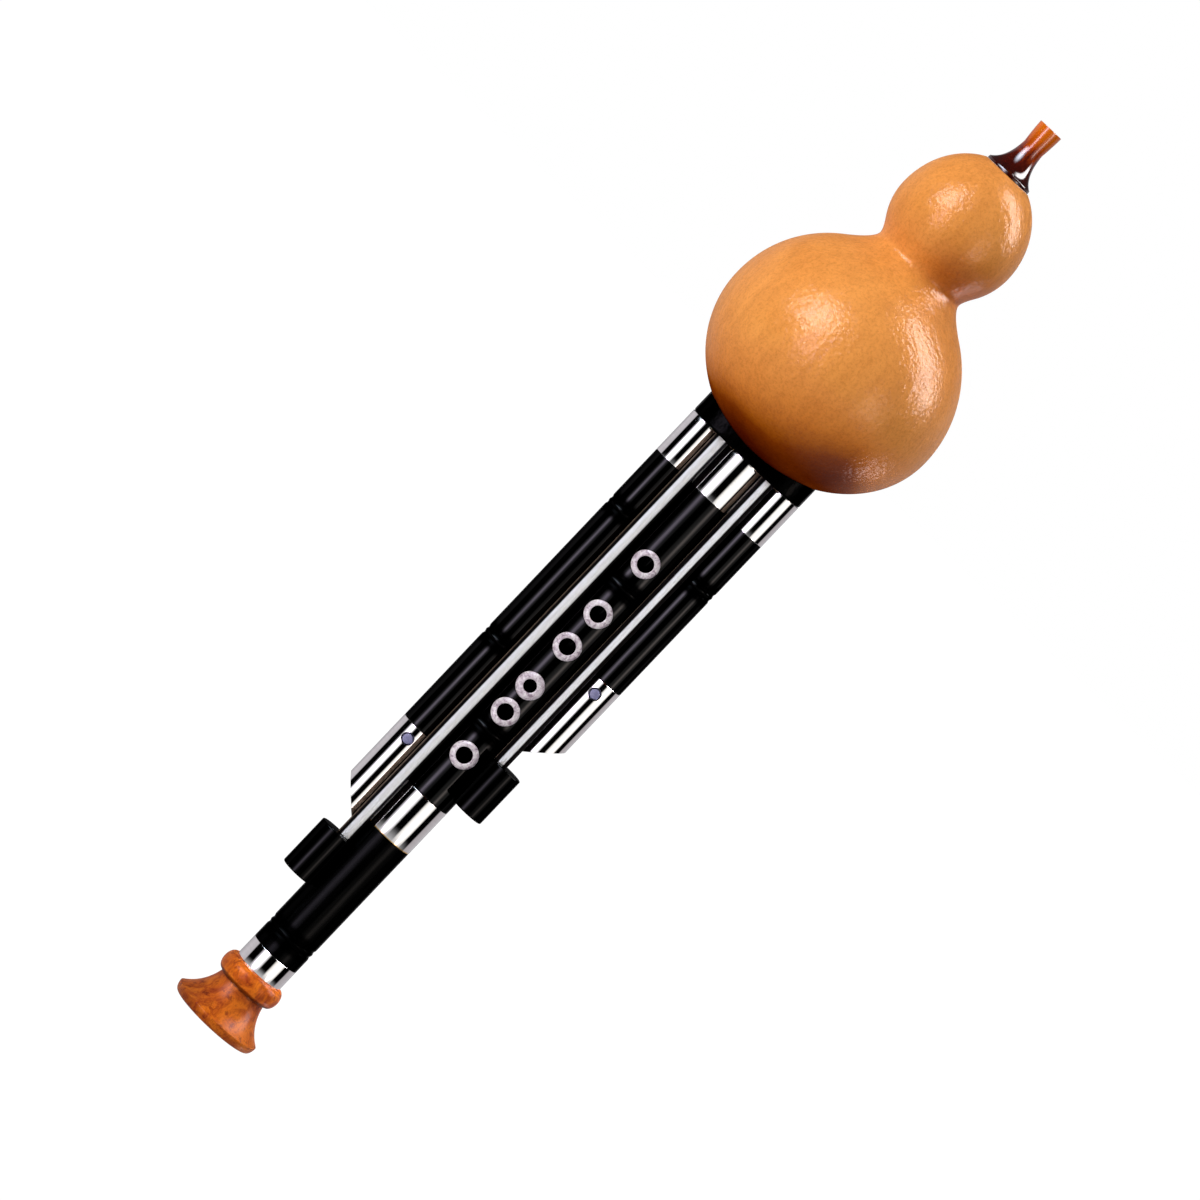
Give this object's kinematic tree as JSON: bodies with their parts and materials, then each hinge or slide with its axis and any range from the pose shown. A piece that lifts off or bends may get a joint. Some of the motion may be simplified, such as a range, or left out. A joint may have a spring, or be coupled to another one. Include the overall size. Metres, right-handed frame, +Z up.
{
  "type": "hulusi",
  "caption": "Gourd wind chest with a mouthpiece above, a melody pipe with ringed finger holes and a wooden bell, and drone pipes with slanted caps and sliding stops.",
  "frame": {"origin": "centre of the bell's mouth plane, on the melody pipe's axis, at the lowest point of the instrument standing upright", "axes": "+Z up the pipes to the mouthpiece, -Y towards the player's fingers (front holes), +X to the short drone's side"},
  "size_m": [0.0936, 0.0942, 0.431],
  "materials": {
    "gourd_shell": "varnished dried gourd, fine speckle, satin gloss",
    "amber_resin": "polished amber resin, lighter at the tip and dark red at the base",
    "black_resin": "polished black resin with a faint grain",
    "nickel": "mirror polished nickel plate",
    "rod_metal": "polished rod, slightly softer than the plated sleeves",
    "pearl": "pearl lilac-grey ring",
    "lilac_resin": "lilac-blue resin button",
    "burl_wood": "turned orange-red burl wood, varnished",
    "cork": "natural cork",
    "brass": "drawn brass",
    "felt": "wool felt"
  },
  "bodies": {
    "wind_chest": {"gourd": "gourd_shell", "mouthpiece": "amber_resin", "mouthpiece_cork": "cork", "base_block": "black_resin", "main_reed_tube": "brass", "main_reed": "brass", "main_reed_plug": "black_resin", "left_reed_tube": "brass", "left_reed": "brass", "left_reed_plug": "black_resin", "right_reed_tube": "brass", "right_reed": "brass", "right_reed_plug": "black_resin", "left_rod_bush": "brass", "left_rod_seal": "felt", "right_rod_bush": "brass", "right_rod_seal": "felt"},
    "melody": {"main_pipe": "black_resin", "main_top_ferrule": "nickel", "main_lower_ferrule": "nickel", "main_tenon_cork": "cork", "finger_ring_1": "pearl", "finger_ring_2": "pearl", "finger_ring_3": "pearl", "finger_ring_4": "pearl", "finger_ring_5": "pearl", "finger_ring_6": "pearl", "thumb_ring": "pearl"},
    "tail": {"tail_pipe": "black_resin", "tail_ferrule": "nickel", "tail_tenon_cork": "cork", "bell": "burl_wood"},
    "left_drone": {"left_drone_pipe": "black_resin", "left_drone_ferrule": "nickel", "left_drone_tenon_cork": "cork", "left_drone_cap": "nickel", "left_drone_stopper": "lilac_resin"},
    "right_drone": {"right_drone_pipe": "black_resin", "right_drone_ferrule": "nickel", "right_drone_tenon_cork": "cork", "right_drone_cap": "nickel", "right_drone_stopper": "lilac_resin"},
    "left_stop": {"left_rod": "rod_metal", "left_knob": "black_resin", "left_shutter": "brass", "left_rod_nut": "brass"},
    "right_stop": {"right_rod": "rod_metal", "right_knob": "black_resin", "right_shutter": "brass", "right_rod_nut": "brass"}
  },
  "joints": [
    {"name": "melody_slide", "type": "slide", "parent": "wind_chest", "child": "melody", "axis": [0, 0, -1], "range_m": [0, 0.018]},
    {"name": "tail_slide", "type": "slide", "parent": "melody", "child": "tail", "axis": [0, 0, -1], "range_m": [0, 0.018]},
    {"name": "left_drone_turn", "type": "hinge", "parent": "wind_chest", "child": "left_drone", "pos_m": [-0.0184, 0, 0.2], "axis": [0, 0, 1], "range_deg": [-45, 45]},
    {"name": "right_drone_turn", "type": "hinge", "parent": "wind_chest", "child": "right_drone", "pos_m": [0.0184, 0, 0.23], "axis": [0, 0, 1], "range_deg": [-45, 45]},
    {"name": "left_stop_slide", "type": "slide", "parent": "wind_chest", "child": "left_stop", "axis": [0, 0, -1], "range_m": [0, 0.012]},
    {"name": "right_stop_slide", "type": "slide", "parent": "wind_chest", "child": "right_stop", "axis": [0, 0, -1], "range_m": [0, 0.012]}
  ]
}
